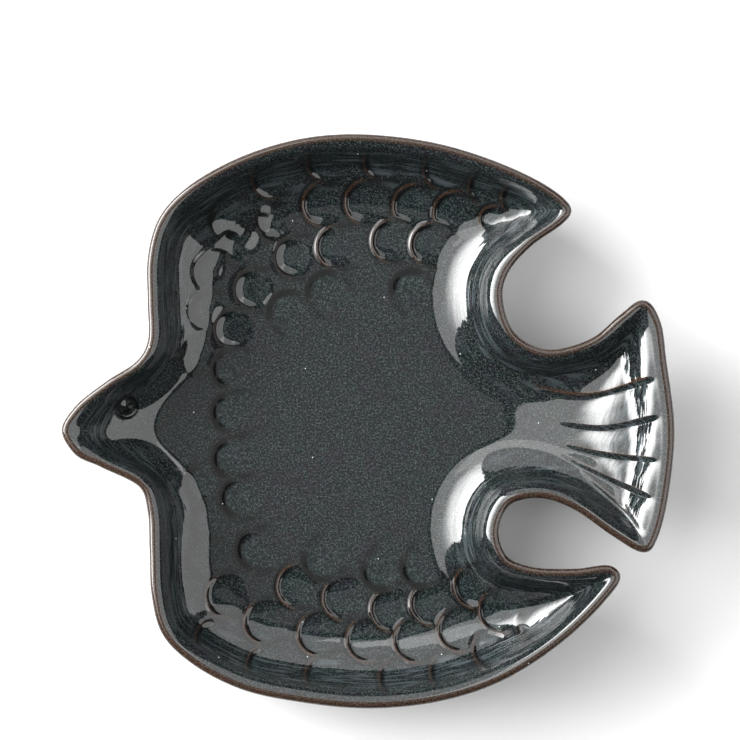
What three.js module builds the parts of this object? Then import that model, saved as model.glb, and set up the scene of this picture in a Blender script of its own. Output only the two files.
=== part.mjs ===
// Bird-shaped sauce dish in glazed stoneware: a pressed clay body whose rim draws a flying bird, with
// rows of scalloped feathers, a fluted tail and an eye in the well, standing on an oval foot ring.
// Millimetres, +Z up, +X towards the tail. The origin is on the table, under the middle of the dish.
import * as THREE from "three";

// Driving dimensions

const LENGTH = 153; // beak to tail, over the lip
const WIDTH = 143.5; // leading edge to leading edge of the wings, over the lip
const HEIGHT = 24; // table to the crest of the lip
const FLOOR_THICKNESS = 5.5; // floor of the well to the underside, with both glaze coats
const LIP_RADIUS = 1.2; // outer half of the rounded lip
const LIP_ROLL = 0.7; // how far the lip's inner half rolls down before the wall
const LIP_ROLL_WIDTH = 4; // width of that roll
const GLAZE = 0.5; // thickness of each glaze coat

const STEEP_FROM = 0.09; // share of the wall's run where its steep part starts, behind the rounded lip
const STEEP_TO = 0.41; // share of the run where the steep part has come down into the fillet
const FILLET_SHARE = 0.42; // share of the wall's height that the fillet takes
const FILLET_CURVE = 2.5; // power of the fillet, larger brings it to the floor sooner
const OUTSIDE_SHARE = 0.82; // run of the outside wall against that of the inside wall
const OUTSIDE_CURVE = 3.1; // power of the outside wall's curve down to the base

const SIDE_RUN = 15.5; // how far the inner wall takes to come down to the floor: beside the head,
const BEAK_RUN = 22; // at the beak,
const HEAD_RUN = 11.5; // along the head,
const UPPER_WING_RUN = 18; // along the wing on the +Y side,
const LOWER_WING_RUN = 19; // along the wing on the -Y side,
const TIP_RUN = 13; // at the tips of the wings,
const NOTCH_RUN = 20; // round the notches,
const TAIL_SIDE_RUN = 15; // along the sides of the tail,
const TAIL_CORNER_RUN = 24; // at its corners
const TAIL_END_RUN = 34; // and at its end

const TAIL_RAMP = 9; // how far the bottom climbs towards the end of the tail,
const TAIL_RAMP_FROM = 30; // from this x on the plan
const TAIL_RAMP_TO = 75; // to this one
const HEAD_RAMP = 4; // how far it climbs towards the beak,
const HEAD_RAMP_FROM = -52; // from this x on the plan
const HEAD_RAMP_TO = -68; // to this one
const HEAD_AXIS = -1.75; // y on the plan of the line from the neck to the beak
const HEAD_FLARE = 0.45; // how much sooner the climb starts for each millimetre beside that line
const HEAD_HOLLOW = 3; // rounding of the climb across that line
const NECK_HALF = 14; // half the neck's width, over which the climb fades out beside the neck

const FOOT_HEIGHT = 2.5; // table to the clay of the base
const FOOT_WIDTH = 4.2; // width of the foot ring's section at the base
const FOOT_TAPER = 0.5; // how much each side of the foot ring draws in towards the table
const FOOT_HALF_LENGTH = 26; // foot ring's outer half axis along X
const FOOT_HALF_WIDTH = 42; // foot ring's outer half axis along Y
const FOOT_CENTRE = [-11, 0]; // on the plan
const FOOT_CHAMFER = 0.6; // rounded-off edge where the foot ring meets the table
const FOOT_CLEARANCE = 0.3; // bare gap between the foot ring and the glaze beside it

const FEATHER_RADIUS = 5.7; // round edge of a feather
const RIM_FEATHER_RADIUS = 5.0; // the same in the rows beside the rim
const SCOOP_DEPTH = 0.7; // drop behind the edge of the deep scoops on the wall beside the head
const SCOOP_RUN = 4.8; // width of that drop with its fillet
const FAINT_DEPTH = 0.2; // drop of the faint feathers, as wide
const CRESCENT_DEPTH = 0.8; // drop of the feathers along the rims and before the scoops, as wide
const EDGE_DEPTH = 0.4; // drop of the feathers with a raised edge
const EDGE_RUN = 1.3; // width of that drop
const EDGE_RIDGE = 0.34; // height of the raised edge
const LOW_DEPTH = 0.3; // drop of the feathers along the plain floor, as wide
const LOW_RIDGE = 0.1; // height of a slightly raised edge
const FEATHER_RISE = 0.9; // width over which the surface swells up to a raised edge
const FEATHER_BACK = 0.9; // radii from a feather's middle to where its bottom has climbed back
const FEATHER_SIDE = 0.3; // radii to the side of a feather's middle where its bottom starts to climb
const FEATHER_SPAN = 80; // degrees of arc on each side of a feather's front
const FEATHER_FRONT = 30; // degrees of that arc where the raised edge has its full height

const FLUTE_DEPTH = 0.7; // drop beside a crease of the tail
const FLUTE_RIDGE = 0.45; // rise up to a crease of the tail
const FLUTE_EDGE = 2.4; // width of that drop
const FLUTE_WIDTH = 5; // width over which a flute fades into the tail
const FLUTE_START = 0.35; // share of a crease's length over which it comes up from the floor

const RELIEF_START = 1.6; // distance from the lip's crest where the relief starts
const RELIEF_FULL = 6; // distance from the lip's crest where it has its full height

const EYE_CENTRE = [-61, 3.5]; // on the plan
const EYE_RADIUS = 3.3;
const EYE_FLOOR_RADIUS = 2.0; // flat bottom of the dimple
const EYE_DEPTH = 1.0;
const PUPIL_RADIUS = 1.4;
const PUPIL_TOP_RADIUS = 0.4; // flat top of the bead in the dimple
const PUPIL_HEIGHT = 0.7;

// Plan of the lip's crest, clockwise from the beak: x, y and the run of the inner wall behind that point.

const HEAD_TOP = [
  [-75.5, -2.25, BEAK_RUN],
  [-73, 2.25, BEAK_RUN],
  [-64.5, 9.25, HEAD_RUN],
  [-57, 14.25, HEAD_RUN],
  [-54, 19.75, SIDE_RUN],
];
const UPPER_WING = [
  [-54, 30, SIDE_RUN],
  [-54, 40.5, SIDE_RUN],
  [-51.5, 49.75, SIDE_RUN],
  [-45.5, 56.75, UPPER_WING_RUN],
  [-33.5, 64, UPPER_WING_RUN],
  [-18.5, 69, UPPER_WING_RUN],
  [-4.5, 70.5, UPPER_WING_RUN],
  [13, 69, UPPER_WING_RUN],
  [27.5, 65.25, UPPER_WING_RUN],
  [42.5, 58.75, TIP_RUN],
  [48.5, 54.5, TIP_RUN],
  [49.75, 52.5, TIP_RUN],
  [48, 50.25, TIP_RUN],
];
const UPPER_NOTCH = [
  [40, 44.5, TIP_RUN],
  [33.75, 37, NOTCH_RUN],
  [32.5, 31, NOTCH_RUN],
  [35.5, 21.75, NOTCH_RUN],
  [44.5, 16.75, TAIL_SIDE_RUN],
  [56.25, 19.5, TAIL_SIDE_RUN],
  [64, 25.75, TAIL_SIDE_RUN],
];
const TAIL_END = [
  [68.5, 29, TAIL_SIDE_RUN],
  [72, 24.75, TAIL_CORNER_RUN],
  [73.5, 15.25, TAIL_END_RUN],
  [75.5, -2.25, TAIL_END_RUN],
  [74, -18.25, TAIL_END_RUN],
  [71.25, -29, TAIL_CORNER_RUN],
  [68.5, -31.5, TAIL_SIDE_RUN],
];
const LOWER_NOTCH = [
  [62, -27.75, TAIL_SIDE_RUN],
  [51.25, -20.5, TAIL_SIDE_RUN],
  [43, -18, TAIL_SIDE_RUN],
  [34.5, -20.25, NOTCH_RUN],
  [31.5, -27.25, NOTCH_RUN],
  [33.5, -34, NOTCH_RUN],
  [40.5, -37.5, TIP_RUN],
  [52, -38, TIP_RUN],
];
const LOWER_WING = [
  [60.5, -37.25, TIP_RUN],
  [62, -38.75, TIP_RUN],
  [58.5, -44, TIP_RUN],
  [47.5, -54.5, TIP_RUN],
  [32.5, -64, LOWER_WING_RUN],
  [17.75, -68.75, LOWER_WING_RUN],
  [0.5, -70.5, LOWER_WING_RUN],
  [-16.5, -69, LOWER_WING_RUN],
  [-31.5, -65.75, LOWER_WING_RUN],
  [-43.5, -59.5, LOWER_WING_RUN],
  [-50.5, -52.5, SIDE_RUN],
  [-53, -43.25, SIDE_RUN],
  [-53.5, -32.25, SIDE_RUN],
];
const HEAD_BOTTOM = [
  [-54, -22.25, SIDE_RUN],
  [-56.25, -15.75, HEAD_RUN],
  [-66.25, -10.5, HEAD_RUN],
  [-73, -7, BEAK_RUN],
];
const PLAN = [
  ...HEAD_TOP,
  ...UPPER_WING,
  ...UPPER_NOTCH,
  ...TAIL_END,
  ...LOWER_NOTCH,
  ...LOWER_WING,
  ...HEAD_BOTTOM,
];

// Rows of feathers on the plan, given by their foremost points. The feathers of a row open towards the tail,
// leaning by an angle that changes along the row.

const SCOOP = { depth: SCOOP_DEPTH, run: SCOOP_RUN, ridge: 0 };
const FAINT = { depth: FAINT_DEPTH, run: SCOOP_RUN, ridge: 0 };
const CRESCENT = { depth: CRESCENT_DEPTH, run: SCOOP_RUN, ridge: LOW_RIDGE };
const EDGE = { depth: EDGE_DEPTH, run: EDGE_RUN, ridge: EDGE_RIDGE };
const BLUNT_EDGE = { depth: EDGE_DEPTH, run: EDGE_RUN, ridge: LOW_RIDGE };
const LOW_EDGE = { depth: LOW_DEPTH, run: EDGE_RUN, ridge: LOW_RIDGE };

const FEATHER_ROWS = [
  {
    kind: SCOOP,
    lean: [15, 0],
    fronts: [[-40.5, 51.75], [-28.5, 50.5], [-37.75, 44.25], [-45.25, 38.25], [-46, 28.25]],
  },
  { kind: FAINT, lean: [0, 0], fronts: [[-47, 16.75], [-46.75, -16], [-45, -25.25], [-46, -35]] },
  { kind: CRESCENT, lean: [0, 0], fronts: [[-23.5, 41.25], [-33.75, 33], [-38.75, 23]] },
  {
    kind: CRESCENT,
    radius: RIM_FEATHER_RADIUS,
    lean: [25, -25],
    fronts: [[-28.75, 58.75], [-15.25, 63.75], [-1, 64.75], [14, 63.5], [25.5, 60], [34, 57.75]],
  },
  {
    kind: BLUNT_EDGE,
    lean: [0, -25],
    fronts: [[-16.5, 54.5], [-5.75, 55.75], [6.5, 55.5], [17, 54.5], [28.75, 52.5]],
  },
  { kind: EDGE, lean: [0, -15], fronts: [[-13, 43.75], [1, 46], [11, 45.75]] },
  {
    kind: LOW_EDGE,
    lean: [0, 5],
    fronts: [[-39.75, 13], [-39.75, 2], [-39.5, -9.75], [-37.5, -19.75], [-33.5, -33]],
  },
  {
    kind: EDGE,
    lean: [0, 25],
    fronts: [[-23, -41.75], [-11.5, -45.25], [0.75, -48.5], [11, -47.75], [22.25, -44]],
  },
  {
    kind: EDGE,
    lean: [15, 30],
    fronts: [
      [-40.75, -45.5], [-31, -52.25], [-17.5, -55.5], [-5, -57.25],
      [7, -57.5], [18.25, -55], [28.75, -50.5],
    ],
  },
  {
    kind: CRESCENT,
    radius: RIM_FEATHER_RADIUS,
    lean: [0, 30],
    fronts: [
      [-43.5, -54.75], [-30.5, -61.75], [-15.75, -65], [3, -66],
      [16, -65], [27, -59.75], [38.25, -53.75],
    ],
  },
  { kind: FAINT, lean: [-45, -50], fronts: [[-24, 31.25], [-14, 36.5], [7.5, 37]] },
  { kind: FAINT, lean: [45, 45], fronts: [[-15.25, -39], [-0.25, -41.5], [9.75, -40.75]] },
];

// Creases of the fluted tail on the plan, from the root of the tail to its end.

const TAIL_CREASES = [
  [[40, 9.25], [54.5, 6.75], [70.5, 11.25]],
  [[47, 0.25], [59.5, -1], [73, 2]],
  [[48, -5], [59.5, -7.75], [72.5, -9]],
  [[47, -7], [59.5, -13.25], [71, -18.25]],
  [[52, -10.5], [61, -18.5], [69.5, -27]],
];

// Tips of the wings and corners of the tail on the plan, where the rim turns sharply.

const TIPS = [[49.75, 52.5], [68.5, 29], [68.5, -31.5], [62, -38.75]];

// Sizes of the facets

const RIM_STEP = 4.2; // longest step along the rim
const RIM_TURN = THREE.MathUtils.degToRad(22); // most that the rim turns in one step
const WALL_LINES = [0.07, 0.2, 0.36, 0.6]; // shares of the wall's run that carry a line of points
const FEATURE_GAP = 1.1; // least distance between points of the relief
const WALL_GAP = 2.8; // least distance between points of the walls
const FLOOR_STEP = 7.5;
const BASE_STEP = 8;
const TIP_STEP = 1.9;
const TIP_REACH = 8; // how far from a tip the fine points go
const FEATHER_STEPS = 6;
const CREASE_STEPS = 7;
const EYE_STEPS = 8;
const FOOT_STEPS = 48;
const LIP_STEPS = 2;
const NEAR_SHARE = 0.7; // share of a step or gap that neighbouring points may come closer to each other
const RIM_SAMPLES = 1800; // fine points of the rim, which the wall's distances are measured from
const CREASE_SAMPLES = 40; // fine steps of a crease
const SLOPE_STEP = 0.05; // half the distance over which a slope is measured
const LEAST_SLOPE = 0.3; // least upward part of the surface's direction that thickens a coat on a steep wall
const EDGE_CLEARANCE = 0.02; // how far points stay outside the circle over each step of the rim, squared
const ON_CIRCLE = 1e-9; // share of a circle's radius squared within which a point counts as outside it
const LEAST_DISTANCE = 1e-4; // squared, keeps the sums finite at a point of the rim
const FRAME = 20; // corners of the triangle round all points, in sizes of the dish

const floorZ = FOOT_HEIGHT - GLAZE + FLOOR_THICKNESS;
const baseZ = FOOT_HEIGHT - GLAZE;

const smooth = THREE.MathUtils.smoothstep;
const turned = (a, b) => a.x * b.y - a.y * b.x;

// The rim: a closed smooth curve through the plan, stretched to the overall length and width.

function rimCurve() {
  const curve = new THREE.CatmullRomCurve3(
    PLAN.map(([x, y, run]) => new THREE.Vector3(x, y, run)),
    true,
    "centripetal",
  );
  curve.arcLengthDivisions = 2 * RIM_SAMPLES;
  const box = new THREE.Box3().setFromPoints(curve.getPoints(RIM_SAMPLES));
  const size = box.getSize(new THREE.Vector3());
  const middle = box.getCenter(new THREE.Vector3());
  const stretch = new THREE.Vector2(
    (LENGTH - 2 * LIP_RADIUS) / size.x,
    (WIDTH - 2 * LIP_RADIUS) / size.y,
  );
  const place = ([x, y]) => new THREE.Vector2((x - middle.x) * stretch.x, (y - middle.y) * stretch.y);
  return { curve, place };
}

const { curve: planCurve, place } = rimCurve();

const rimSamples = planCurve
  .getSpacedPoints(RIM_SAMPLES)
  .slice(0, RIM_SAMPLES)
  .map((p) => Object.assign(place([p.x, p.y]), { run: p.z }));

// Points along the rim, closer together where it turns, each with its outward direction.

function rimLoop() {
  const loop = [];
  const along = (i) => rimSamples[(i + RIM_SAMPLES) % RIM_SAMPLES];
  const heading = (i) => along(i + 2).clone().sub(along(i - 2)).normalize();
  let last = -1;
  rimSamples.forEach((point, i) => {
    const from = last < 0 ? null : rimSamples[last];
    const turn = from ? Math.abs(heading(last).angleTo(heading(i))) : Infinity;
    const far = from ? from.distanceTo(point) : Infinity;
    if (turn < RIM_TURN && far < RIM_STEP) return;
    const h = heading(i);
    loop.push({ point: point.clone(), out: new THREE.Vector2(-h.y, h.x) });
    last = i;
  });
  const start = loop[0].point;
  if (loop.at(-1).point.distanceTo(start) < RIM_STEP / 3) loop.pop();
  return loop;
}

const rim = rimLoop();
const outwards = (distance) => rim.map(({ point, out }) => point.clone().addScaledVector(out, distance));

// Distance to the rim and the run of the wall there, blended so that walls that face each other meet in a
// rounded valley: the sum of the inverse sixth powers of the distances to points along the rim.

rimSamples.forEach((p, i) => {
  p.step = p.distanceTo(rimSamples[(i + 1) % RIM_SAMPLES]);
});
const STRAIGHT_WALL = (3 * Math.PI) / 8; // that sum for a straight wall at unit distance

function wallAt(p) {
  let weight = 0;
  let runs = 0;
  for (const s of rimSamples) {
    const share = s.step / Math.max(s.distanceToSquared(p), LEAST_DISTANCE) ** 3;
    weight += share;
    runs += share * s.run;
  }
  return { distance: (STRAIGHT_WALL / weight) ** 0.2, run: runs / weight };
}

// Feathers of all rows, as circles with a front and a way they open.

const lerp = THREE.MathUtils.lerp;

const feathers = FEATHER_ROWS.flatMap(({ kind, radius = FEATHER_RADIUS, lean, fronts }) =>
  fronts.map((front, i) => {
    const angle = THREE.MathUtils.degToRad(lerp(...lean, i / (fronts.length - 1)));
    const open = new THREE.Vector2(Math.cos(angle), Math.sin(angle));
    return { ...kind, centre: place(front).addScaledVector(open, radius), radius, open };
  }),
);

// Share of a wall's height that is left at a share of its run: rounded at the top, steep, then a fillet.

const fillet = (t) => (1 - t) ** FILLET_CURVE * (1 + FILLET_CURVE * t);
const wallShare = (t) => lerp(1 - smooth(t, STEEP_FROM, STEEP_TO), fillet(t), FILLET_SHARE);

// Height that one feather adds: the surface swells up to its round edge, drops there as a small wall does,
// and the bottom behind the edge climbs back to both sides and towards the open one.

const ridgeEnd = Math.cos(THREE.MathUtils.degToRad(FEATHER_SPAN));
const ridgeFull = Math.cos(THREE.MathUtils.degToRad(FEATHER_FRONT));
const clamp = THREE.MathUtils.clamp;

function featherHeight(p, { centre, radius, open, depth, run, ridge }) {
  const arm = p.clone().sub(centre).divideScalar(radius);
  const r = arm.length() * radius;
  if (r > radius + FEATHER_RISE) return 0;
  const ahead = arm.dot(open);
  const facing = smooth(r > 0 ? (-ahead * radius) / r : 0, ridgeEnd, ridgeFull);
  const left = wallShare(clamp((radius - r) / run, 0, 1));
  const swell = left * facing * smooth(radius + FEATHER_RISE - r, 0, FEATHER_RISE);
  const climbBack = clamp((FEATHER_BACK - ahead) / (FEATHER_BACK + 1), 0, 1);
  const climbAside = 1 - smooth(Math.abs(turned(open, arm)), FEATHER_SIDE, 1);
  return ridge * swell - depth * (1 - left) * climbBack * climbAside;
}

const creases = TAIL_CREASES.map((points) =>
  new THREE.SplineCurve(points.map(place)).getPoints(CREASE_SAMPLES),
);

// Height beside one crease of the tail: a rise up to it on the +Y side, then a drop to the next flute.

function creaseHeight(p, line) {
  let nearest = 0;
  line.forEach((q, i) => {
    if (q.distanceToSquared(p) < line[nearest].distanceToSquared(p)) nearest = i;
  });
  const a = line[Math.max(nearest - 1, 0)];
  const b = line[Math.min(nearest + 1, line.length - 1)];
  const heading = b.clone().sub(a).normalize();
  const side = turned(heading, p.clone().sub(line[nearest]));
  const past = Math.abs(p.clone().sub(line[nearest]).dot(heading));
  const share = nearest / (line.length - 1);
  const strength = smooth(share, 0, FLUTE_START) * (1 - smooth(past, 0, FLUTE_WIDTH / 2));
  const fade = 1 - smooth(Math.abs(side), 0, FLUTE_WIDTH);
  const below = smooth(-side, 0, FLUTE_EDGE);
  return strength * fade * (FLUTE_RIDGE * (1 - below) - FLUTE_DEPTH * below);
}

const eye = place(EYE_CENTRE);

// The eye: a round dimple with a bead left standing in it.

function eyeHeight(p) {
  const r = p.distanceTo(eye);
  const dimple = -EYE_DEPTH * (1 - smooth(r, EYE_FLOOR_RADIUS, EYE_RADIUS));
  return dimple + PUPIL_HEIGHT * (1 - smooth(r, PUPIL_TOP_RADIUS, PUPIL_RADIUS));
}

function reliefAt(p) {
  const plumage = feathers.reduce((sum, feather) => sum + featherHeight(p, feather), 0);
  const tail = creases.reduce((sum, line) => sum + creaseHeight(p, line), 0);
  return plumage + tail + eyeHeight(p);
}

// How far the dish's bottom climbs towards the tail and towards the beak.

const tailRamp = [TAIL_RAMP_FROM, TAIL_RAMP_TO].map((x) => place([x, 0]).x);
const headRamp = [HEAD_RAMP_FROM, HEAD_RAMP_TO].map((x) => -place([x, 0]).x);

const headAxis = place([0, HEAD_AXIS]).y;

function rampAt(p) {
  const aside = Math.hypot(p.y - headAxis, HEAD_HOLLOW) - HEAD_HOLLOW;
  const inNeck = 1 - smooth(aside, NECK_HALF, 2 * NECK_HALF);
  const toHead = smooth(HEAD_FLARE * aside - p.x, ...headRamp) * inNeck;
  return TAIL_RAMP * smooth(p.x, ...tailRamp) + HEAD_RAMP * toHead;
}

function innerZ(p) {
  const { distance, run } = wallAt(p);
  const relief = reliefAt(p) * smooth(distance, RELIEF_START, RELIEF_FULL);
  const bottom = floorZ + rampAt(p);
  const top = HEIGHT - LIP_ROLL * smooth(distance, 0, LIP_ROLL_WIDTH);
  return bottom + (top - bottom) * wallShare(Math.min(distance / run, 1)) + relief;
}

const equatorZ = HEIGHT - LIP_RADIUS;

function outerZ(p) {
  const { distance, run } = wallAt(p);
  const inwards = LIP_RADIUS + (insideLoop(p, rimSamples) ? distance : -distance);
  const t = clamp(inwards / (run * OUTSIDE_SHARE), 0, 1);
  const bottom = baseZ + rampAt(p);
  return bottom + (equatorZ - bottom) * (1 - t) ** OUTSIDE_CURVE;
}

// Slope of a surface at a point, from heights a little to each side.

function normalAt(surface, p) {
  const across = new THREE.Vector2(SLOPE_STEP, 0);
  const along = new THREE.Vector2(0, SLOPE_STEP);
  const fall = (step) => surface(p.clone().sub(step)) - surface(p.clone().add(step));
  return new THREE.Vector3(fall(across), fall(along), 2 * SLOPE_STEP).normalize();
}

// Points that carry a surface: the rim first, then the given points that keep their distance from the points
// before them and from the circle over each step of the rim, so that those steps stay edges of the triangles.

function pointSet(loops) {
  const points = [];
  const edges = [];
  for (const loop of loops) {
    const first = points.length;
    loop.forEach((p, i) => {
      points.push(p);
      edges.push([first + i, first + ((i + 1) % loop.length)]);
    });
  }
  const encroaches = (p) =>
    edges.some(([a, b]) => points[a].clone().sub(p).dot(points[b].clone().sub(p)) < EDGE_CLEARANCE);
  const add = (candidates, gap) => {
    for (const p of candidates) {
      if (!insideLoop(p, loops[0]) || encroaches(p)) continue;
      if (points.every((q) => q.distanceToSquared(p) > gap * gap)) points.push(p);
    }
  };
  const addWallLines = (start, shareOfRun) => {
    for (const line of WALL_LINES)
      for (const { point, out } of rim) {
        const inwards = line * shareOfRun * wallRunNear(point);
        const gap = Math.min(WALL_GAP, NEAR_SHARE * inwards);
        add([point.clone().addScaledVector(out, start - inwards)], gap);
      }
  };
  const addTips = () => {
    const tips = TIPS.map(place);
    const near = floorGrid(TIP_STEP).filter((p) => tips.some((tip) => tip.distanceTo(p) < TIP_REACH));
    add(near, NEAR_SHARE * TIP_STEP);
  };
  return { points, add, addWallLines, addTips };
}

function insideLoop(p, loop) {
  let inside = false;
  loop.forEach((a, i) => {
    const b = loop[(i + 1) % loop.length];
    if (a.y > p.y === b.y > p.y) return;
    if (p.x < a.x + ((p.y - a.y) / (b.y - a.y)) * (b.x - a.x)) inside = !inside;
  });
  return inside;
}

// Delaunay triangles over points of the plane, added one at a time. A point on a triangle's circle, within a
// small share of its radius squared, counts as outside it.

function triangulate(points) {
  const far = FRAME * (LENGTH + WIDTH);
  const all = [
    ...points,
    new THREE.Vector2(-far, -far),
    new THREE.Vector2(far, -far),
    new THREE.Vector2(0, far),
  ];
  const n = points.length;
  const circled = (a, b, c) => {
    const [p, q, r] = [all[a], all[b], all[c]];
    const u = q.clone().sub(p);
    const v = r.clone().sub(p);
    const d = 2 * turned(u, v);
    const x = (v.y * u.lengthSq() - u.y * v.lengthSq()) / d;
    const y = (u.x * v.lengthSq() - v.x * u.lengthSq()) / d;
    return { corners: [a, b, c], x: p.x + x, y: p.y + y, r2: x * x + y * y };
  };
  let triangles = [circled(n, n + 1, n + 2)];
  points.forEach((p, i) => {
    const border = new Map();
    triangles = triangles.filter((t) => {
      if ((p.x - t.x) ** 2 + (p.y - t.y) ** 2 >= t.r2 * (1 - ON_CIRCLE)) return true;
      t.corners.forEach((a, k) => {
        const b = t.corners[(k + 1) % 3];
        if (!border.delete(`${b},${a}`)) border.set(`${a},${b}`, [a, b]);
      });
      return false;
    });
    for (const [a, b] of border.values()) triangles.push(circled(a, b, i));
  });
  return triangles.map((t) => t.corners).filter((corners) => corners.every((k) => k < n));
}

const middleOf = (points, corners) =>
  corners.reduce((sum, k) => sum.add(points[k]), new THREE.Vector2()).divideScalar(3);

const trianglesInside = (points, loop) =>
  triangulate(points).filter((corners) => insideLoop(middleOf(points, corners), loop));

// A grid of equilateral triangles over the whole dish.

function floorGrid(step) {
  const rows = Math.ceil(WIDTH / step);
  const columns = Math.ceil(LENGTH / step);
  const grid = [];
  for (let j = -rows; j <= rows; j++)
    for (let i = -columns; i <= columns; i++)
      grid.push(new THREE.Vector2((i + (j % 2) / 2) * step, (j * step * Math.sqrt(3)) / 2));
  return grid;
}

const onCircle = (centre, radius, angle) =>
  new THREE.Vector2(radius * Math.cos(angle), radius * Math.sin(angle)).add(centre);

const wholeCircle = (centre, radius, steps) =>
  Array.from({ length: steps }, (_, i) => onCircle(centre, radius, (2 * Math.PI * i) / steps));

// Points along a feather's edge, at a radius about its centre.

function featherArc({ centre, open }, radius) {
  const front = open.angle() + Math.PI;
  const span = THREE.MathUtils.degToRad(FEATHER_SPAN);
  return Array.from({ length: FEATHER_STEPS + 1 }, (_, i) =>
    onCircle(centre, radius, front + span * ((2 * i) / FEATHER_STEPS - 1)),
  );
}

// Points along a crease, at a distance to its side.

function besideCrease(line, side) {
  const path = new THREE.SplineCurve(line);
  return Array.from({ length: CREASE_STEPS }, (_, i) => {
    const t = lerp(FLUTE_START / 2, 1, i / (CREASE_STEPS - 1));
    const heading = path.getTangent(t);
    return path.getPoint(t).add(new THREE.Vector2(-heading.y, heading.x).multiplyScalar(side));
  });
}

// Points of the well: the crest and foot of each feather's edge, both sides of each crease, the eye, lines
// along the wall, and the floor.

function wellPoints() {
  const set = pointSet([outwards(0)]);
  const featureGap = NEAR_SHARE * FEATURE_GAP;
  for (const feather of feathers)
    for (const inwards of [0, Math.max(STEEP_TO * feather.run, FEATURE_GAP)])
      set.add(featherArc(feather, feather.radius - inwards), featureGap);
  for (const line of creases)
    for (const side of [0, -FLUTE_EDGE]) set.add(besideCrease(line, side), featureGap);
  set.add([eye], 0);
  for (const radius of [PUPIL_RADIUS, EYE_RADIUS]) set.add(wholeCircle(eye, radius, EYE_STEPS), featureGap);
  set.addTips();
  set.addWallLines(0, 1);
  set.add(feathers.map(({ centre }) => centre), WALL_GAP);
  set.add(floorGrid(FLOOR_STEP), NEAR_SHARE * FLOOR_STEP);
  return set.points;
}

function wallRunNear(point) {
  const gap = (s) => s.distanceToSquared(point);
  return rimSamples.reduce((best, s) => (gap(s) < gap(best) ? s : best)).run;
}

// The foot ring's oval, grown or shrunk by a distance.

const footCentre = place(FOOT_CENTRE);

const footOval = (grow) =>
  Array.from({ length: FOOT_STEPS }, (_, i) => {
    const angle = (2 * Math.PI * i) / FOOT_STEPS;
    return new THREE.Vector2(
      footCentre.x + (FOOT_HALF_LENGTH + grow) * Math.cos(angle),
      footCentre.y + (FOOT_HALF_WIDTH + grow) * Math.sin(angle),
    );
  });

const footOuter = footOval(FOOT_CLEARANCE);
const footInner = footOval(-FOOT_WIDTH - FOOT_CLEARANCE);

function undersidePoints() {
  const set = pointSet([outwards(LIP_RADIUS), footOuter, footInner]);
  set.addTips();
  set.addWallLines(LIP_RADIUS, OUTSIDE_SHARE);
  set.add(floorGrid(BASE_STEP), NEAR_SHARE * BASE_STEP);
  return set.points;
}

// Surfaces. A coat's inner face lies under its outer face by the coat's thickness, square to the surface.

const at = (p, z) => new THREE.Vector3(p.x, p.y, z);

function wellSurface() {
  const points = wellPoints();
  const triangles = trianglesInside(points, outwards(0));
  const glazed = points.map((p, i) => at(p, i < rim.length ? HEIGHT : innerZ(p)));
  const clay = glazed.map((v, i) => {
    const upward = i < rim.length ? 1 : normalAt(innerZ, points[i]).z;
    return at(v, v.z - GLAZE / Math.max(upward, LEAST_SLOPE));
  });
  return { triangles, glazed, clay };
}

function undersideSurface() {
  const points = undersidePoints();
  const silhouette = outwards(LIP_RADIUS);
  const clayRim = outwards(LIP_RADIUS - GLAZE);
  const triangles = trianglesInside(points, silhouette);
  const glazed = points.map((p, i) => at(p, i < rim.length ? equatorZ : outerZ(p)));
  const clay = glazed.map((v, i) =>
    i < rim.length ? at(clayRim[i], equatorZ) : v.clone().addScaledVector(normalAt(outerZ, points[i]), GLAZE),
  );
  const inZone = (test) => triangles.filter((corners) => test(middleOf(points, corners)));
  return {
    triangles,
    outside: inZone((m) => !insideLoop(m, footOuter)),
    base: inZone((m) => insideLoop(m, footInner)),
    glazed,
    clay,
  };
}

// Closed solids from triangles of points in space. Flipped triangles face the other way.

const flipped = (triangles) => triangles.map(([a, b, c]) => [a, c, b]);

function solid(name, faces, material) {
  const geometry = new THREE.BufferGeometry().setFromPoints(faces.flat());
  geometry.computeVertexNormals();
  const mesh = new THREE.Mesh(geometry, material);
  mesh.name = name;
  return mesh;
}

const facesOf = (points, triangles) => triangles.map((corners) => corners.map((k) => points[k]));

// Faces of a band between two loops of equal count, facing left of the loop's direction as seen from above.

function band(upper, lower) {
  return upper.flatMap((a, i) => {
    const j = (i + 1) % upper.length;
    return [
      [a, upper[j], lower[i]],
      [upper[j], lower[j], lower[i]],
    ];
  });
}

// The outer half of the lip, from its crest down to its widest line.

function lipLoops(radius) {
  return Array.from({ length: LIP_STEPS + 1 }, (_, i) => {
    const angle = (Math.PI / 2) * (i / LIP_STEPS);
    const z = equatorZ + (HEIGHT - (LIP_RADIUS - radius) - equatorZ) * Math.cos(angle);
    return outwards(radius * Math.sin(angle)).map((p) => at(p, z));
  });
}

const lipFaces = (loops) => loops.slice(1).flatMap((lower, i) => band(loops[i], lower));

// Edge loop of a zone of triangles, as index pairs that run with the triangles.

function openEdges(triangles) {
  const seen = new Map();
  for (const corners of triangles)
    corners.forEach((a, k) => {
      const b = corners[(k + 1) % 3];
      if (!seen.delete(`${b},${a}`)) seen.set(`${a},${b}`, [a, b]);
    });
  return [...seen.values()];
}

// A coat of glaze: its two faces and the bands that close its edges.

function coat(triangles, glazed, clay, closes = () => true) {
  const edges = openEdges(triangles)
    .filter(closes)
    .flatMap(([a, b]) => [
      [glazed[b], glazed[a], clay[a]],
      [glazed[b], clay[a], clay[b]],
    ]);
  return [...facesOf(glazed, triangles), ...facesOf(clay, flipped(triangles)), ...edges];
}

const well = wellSurface();
const underside = undersideSurface();
const glazedLip = lipLoops(LIP_RADIUS);
const clayLip = lipLoops(LIP_RADIUS - GLAZE);

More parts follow.
